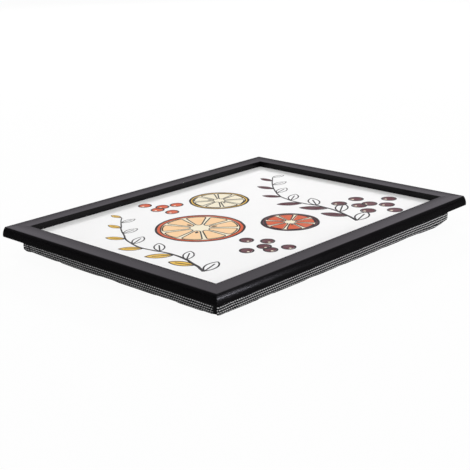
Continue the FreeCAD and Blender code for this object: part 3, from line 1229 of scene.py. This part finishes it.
# %% [markdown]
# Each motif is a small object with its tree as a modifier. Its inputs are set by the sockets' identifiers
# before the first evaluation, and the result becomes a plain mesh that is turned and put in its place on the
# laminate.

# %% Motifs
PRINT_HEIGHT = node_box("print_laminate")[1].z * MM
RIND_SHARE = 0.1
LEAF_SPREAD = 0.85
LINE_WIDTHS = {"fruit": 2.6 * MM, "sprig": 2.4 * MM, "berries": 1.9 * MM}


def drawn_motif(tree, sizes, colours, x=0.0, y=0.0, turn=0.0, host=None):
    """The plain mesh of one motif at its place on the board."""
    inputs = {"Line ink": inks["black"], **sizes}
    for label, colour in colours.items():
        inputs[label] = inks[colour]
    item = linked("motif", bpy.data.meshes.new("motif") if host is None else host)
    modifier = item.modifiers.new("motif", "NODES")
    modifier.node_group = tree
    for socket in tree.interface.items_tree:
        if socket.name in inputs:
            modifier[socket.identifier] = inputs[socket.name]
    item.update_tag()
    depsgraph = bpy.context.evaluated_depsgraph_get()
    mesh = bpy.data.meshes.new_from_object(item.evaluated_get(depsgraph))
    bpy.data.objects.remove(item)
    mesh.transform(Matrix.Translation((x * MM, y * MM, PRINT_HEIGHT)) @ Matrix.Rotation(turn, 4, "Z"))
    return mesh


def stem_curve(points):
    """A smooth stem through points in millimetres."""
    curve = bpy.data.curves.new("stem", "CURVE")
    curve.dimensions = "3D"
    spline = curve.splines.new("NURBS")
    spline.points.add(len(points) - 1)
    for point, (x, y) in zip(spline.points, points):
        point.co = (x * MM, y * MM, 0.0, 1.0)
    spline.order_u = 3
    spline.use_endpoint_u = True
    return curve


def fruit(x, y, turn, radius, segments, rind, flesh):
    """A slice of fruit in two inks."""
    sizes = {"Radius": radius * MM, "Segments": segments, "Rind": radius * RIND_SHARE * MM}
    sizes["Line"] = LINE_WIDTHS["fruit"]
    colours = {"Rind ink": rind, "Pith ink": "cream", "Flesh ink": flesh}
    return drawn_motif(slice_tree, sizes, colours, x, y, turn)


def sprig(points, leaves, leaf, seed, colour):
    """A sprig along a stem."""
    sizes = {"Leaves": leaves, "Leaf": leaf * MM, "Spread": LEAF_SPREAD, "Seed": seed}
    sizes["Line"] = LINE_WIDTHS["sprig"]
    return drawn_motif(sprig_tree, sizes, {"Leaf ink": colour}, host=stem_curve(points))


def berries(x, y, turn, count, berry, colour):
    """A cluster of berries."""
    sizes = {"Berries": count, "Berry": berry * MM, "Line": LINE_WIDTHS["berries"]}
    return drawn_motif(berry_tree, sizes, {"Berry ink": colour, "Glint ink": "cream"}, x, y, turn)


print("print lies at", round(PRINT_HEIGHT / MM, 2), "mm")

# %% [markdown]
# Now the design is laid out: three slices, two sprigs and three clusters of berries, spread loosely over the
# board, with places and sizes in millimetres. At the end all films join in one piece.

# %% Lay out the print
motifs = [
    fruit(-62, 8, 0.2, 50, 9, "coral", "peach"),
    fruit(34, 70, 0.5, 36, 8, "amber", "cream"),
    fruit(20, -56, 0.1, 33, 8, "plum", "coral"),
    sprig([(72, -112), (98, -62), (84, 2), (112, 52), (160, 92)], 13, 33, 4, "plum"),
    sprig([(-164, -98), (-140, -46), (-158, 12), (-132, 66), (-92, 108)], 12, 30, 9, "amber"),
    berries(138, -82, 0.4, 8, 8.5, "plum"),
    berries(-30, 104, 1.1, 5, 7.5, "coral"),
    berries(-66, -92, 2.0, 6, 7.5, "plum"),
]
combined = bmesh.new()
palette = list(inks.values())
for mesh in motifs:
    first = len(combined.faces)
    combined.from_mesh(mesh)
    combined.faces.ensure_lookup_table()
    for face in combined.faces[first:]:
        face.material_index = palette.index(mesh.materials[face.material_index])
bmesh.ops.triangulate(combined, faces=combined.faces)
print_mesh = bpy.data.meshes.new("tray_print")
combined.to_mesh(print_mesh)
combined.free()
for material in palette:
    print_mesh.materials.append(material)
tray_print = linked("tray_print", print_mesh)
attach(tray_print, "root")
print("print triangles:", len(print_mesh.polygons))

# %% [markdown]
# ## Floor, light and camera
# The photograph has a plain white ground, so the floor is a wide pale plane that goes white for camera and
# transmitted rays and still darkens a little under the tray. In the lacquer the real floor hardly shows, so
# for glossy rays it is dim. For all other rays it is an ordinary pale surface, so it doesn't pour extra
# light on the object.

# %% Floor
WHITE = (1.0, 1.0, 1.0, 1.0)
FLOOR_HALF = 15.0
FLOOR_DROP = 0.05 * MM
FLOOR_PALE = (0.74, 0.74, 0.74, 1.0)
FLOOR_WHITENESS = 0.96
FLOOR_MIRRORED = 0.06

floor_mesh = bpy.data.meshes.new("floor")
corners = [(x * FLOOR_HALF, y * FLOOR_HALF, -FLOOR_DROP) for x, y in ((-1, -1), (1, -1), (1, 1), (-1, 1))]
floor_mesh.from_pydata(corners, [], [(0, 1, 2, 3)])
floor = linked("floor", floor_mesh)

ground = bpy.data.materials.new("floor_ground")
ground.use_nodes = True
tree = ground.node_tree
tree.nodes.remove(tree.nodes["Principled BSDF"])
path = make(tree, "ShaderNodeLightPath").outputs
seen = calc("MAXIMUM", path["Is Camera Ray"], path["Is Transmission Ray"])
matte = make(tree, "ShaderNodeBsdfDiffuse", {"Color": FLOOR_PALE}).outputs[0]
glow = between(path["Is Glossy Ray"], 1.0, FLOOR_MIRRORED)
bright = out("ShaderNodeEmission", {"Color": WHITE, "Strength": glow})
share = times(calc("MAXIMUM", seen, path["Is Glossy Ray"]), FLOOR_WHITENESS)
look = out("ShaderNodeMixShader", {0: share, 1: matte, 2: bright})
link(look, tree.nodes["Material Output"].inputs["Surface"])
floor_mesh.materials.append(ground)
print("floor:", 2 * FLOOR_HALF, "m wide")

# %% [markdown]
# The world lights the tray evenly and is white where it is seen directly. Mirrored, it is a sweep behind the
# tray that gets brighter with height and towards both sides, in a darker room, which is what makes the
# lacquer's top grey and its sides black.

# %% World
WORLD_LIGHT = 0.52
ROOM_DIMNESS = 0.03
SWEEP_DIRECTION = (0.69, 0.69, 0.2)
SWEEP_RANGE = (-0.3, 0.45)
UPWARDS = (0.0, 0.0, 1.0)
SKY_HEIGHTS = (0.12, 0.47)
LOW_SKY = 0.03
HIGH_SKY = 1.6
ASIDE_DIRECTION = (0.707, -0.707, 0.0)
MIDDLE_SKY = 0.86
SIDE_SKY = 1.2
SIDE_GAIN = 6.0
MIRROR_TINT = (0.97, 0.91, 1.0, 1.0)

world = bpy.data.worlds.new("studio")
scene.world = world
world.use_nodes = True
tree = world.node_tree
path = make(tree, "ShaderNodeLightPath").outputs
around = make(tree, "ShaderNodeTexCoord").outputs["Generated"]


def leaning(direction):
    """How far the looked-up direction leans towards another one."""
    return fed("ShaderNodeVectorMath", {0: around, 1: direction}, operation="DOT_PRODUCT")[1]


sweep = ramp(leaning(SWEEP_DIRECTION), *SWEEP_RANGE, ROOM_DIMNESS, 1.0)
rise = ramp(leaning(UPWARDS), *SKY_HEIGHTS, LOW_SKY, HIGH_SKY)
aside = leaning(ASIDE_DIRECTION)
wings = calc("MULTIPLY_ADD", times(aside, aside), SIDE_GAIN, MIDDLE_SKY)
room = times(sweep, rise, calc("MINIMUM", wings, SIDE_SKY))
mirrored = between(path["Is Glossy Ray"], WORLD_LIGHT, room)
seen = calc("MAXIMUM", path["Is Camera Ray"], path["Is Transmission Ray"])
backdrop = tree.nodes["Background"].inputs
link(mixed(path["Is Glossy Ray"], WHITE, MIRROR_TINT), backdrop["Color"])
link(between(seen, mirrored, 1.0), backdrop["Strength"])
print("world light:", WORLD_LIGHT)

# %% [markdown]
# The lamps are soft. One hangs above the tray, and one stands low behind it, as the grey strip beside the far
# walls shows: the walls throw their shade sixteen millimetres towards the camera. A fill lamp at the right
# lights the front of the cushion under the rim. A lamp on the floor there is only mirrored: it gives the soft
# gleam on the front rail near the nearest corner. The table holds each lamp's place, the point it is turned
# to, its sides in metres, its power in watts and its colour.

# %% Lamps
MIDDLE = (0.0, 0.0, 0.02)
FRONT = (0.0, -0.15, 0.02)
NEAR_CORNER = (-0.2, -0.16, 0.03)
GLEAM_COLOUR = (0.90, 0.88, 1.0)
LAMPS = {
    "key_lamp": ((-0.2, 0.0, 1.5), MIDDLE, (1.3, 1.3), 5.4, WHITE[:3]),
    "back_lamp": ((2.0, 2.0, 1.0), MIDDLE, (0.3, 0.3), 75.0, WHITE[:3]),
    "fill_lamp": ((0.9, -1.6, 0.62), FRONT, (0.8, 0.8), 11.0, WHITE[:3]),
    "gleam_lamp": ((0.40, -1.04, 0.022), NEAR_CORNER, (0.30, 0.04), 3.3, GLEAM_COLOUR),
}


def lamp(name, place, aim, size, power, colour):
    """A soft rectangular lamp turned to a point."""
    data = bpy.data.lights.new(name, "AREA")
    data.shape = "RECTANGLE"
    data.size, data.size_y = size
    data.energy = power
    data.color = colour
    item = linked(name, data)
    item.location = place
    item.rotation_euler = (Vector(aim) - Vector(place)).to_track_quat("-Z", "Y").to_euler()
    return item


lamps = {name: lamp(name, *values) for name, values in LAMPS.items()}
lamps["back_lamp"].visible_glossy = False
lamps["fill_lamp"].visible_glossy = False
lamps["gleam_lamp"].visible_diffuse = False
print("lamps in W:", {name: round(item.data.energy, 1) for name, item in lamps.items()})

# %% [markdown]
# The camera was solved from the frame's straight edges: its focal length, height and slight roll make the
# rails and the cushion's lower line fall where the photograph has them. Its axes are worked out from the
# angles, because a roll is easier to follow as a turn of the right and up axes than as an Euler angle.

# %% Camera
IMAGE_SIZE = 470
FOCAL_PIXELS = 1045.8
CAMERA_AZIMUTH = math.radians(-46.78)
CAMERA_ELEVATION = math.radians(17.69)
CAMERA_ROLL = math.radians(-1.23)
CAMERA_DISTANCE = 1129.48 * MM
CAMERA_TARGET = Vector((-74.69, -57.83, 33.55)) * MM

towards = Vector((
    math.sin(CAMERA_AZIMUTH) * math.cos(CAMERA_ELEVATION),
    -math.cos(CAMERA_AZIMUTH) * math.cos(CAMERA_ELEVATION),
    math.sin(CAMERA_ELEVATION),
))
level_right = (-towards).cross(Vector((0, 0, 1))).normalized()
level_up = level_right.cross(-towards)
right = level_right * math.cos(CAMERA_ROLL) + level_up * math.sin(CAMERA_ROLL)
up = level_up * math.cos(CAMERA_ROLL) - level_right * math.sin(CAMERA_ROLL)
place = CAMERA_TARGET + towards * CAMERA_DISTANCE

camera_data = bpy.data.cameras.new("camera")
camera_data.sensor_width = 36.0
camera_data.lens = FOCAL_PIXELS * camera_data.sensor_width / IMAGE_SIZE
camera_data.clip_end = 100.0
camera = linked("camera", camera_data)
camera.matrix_world = Matrix((
    (right.x, up.x, towards.x, place.x),
    (right.y, up.y, towards.y, place.y),
    (right.z, up.z, towards.z, place.z),
    (0, 0, 0, 1),
))
scene.camera = camera
scene.view_settings.view_transform = "Standard"
print("camera lens", round(camera_data.lens, 2), "mm at", [round(v, 3) for v in place])
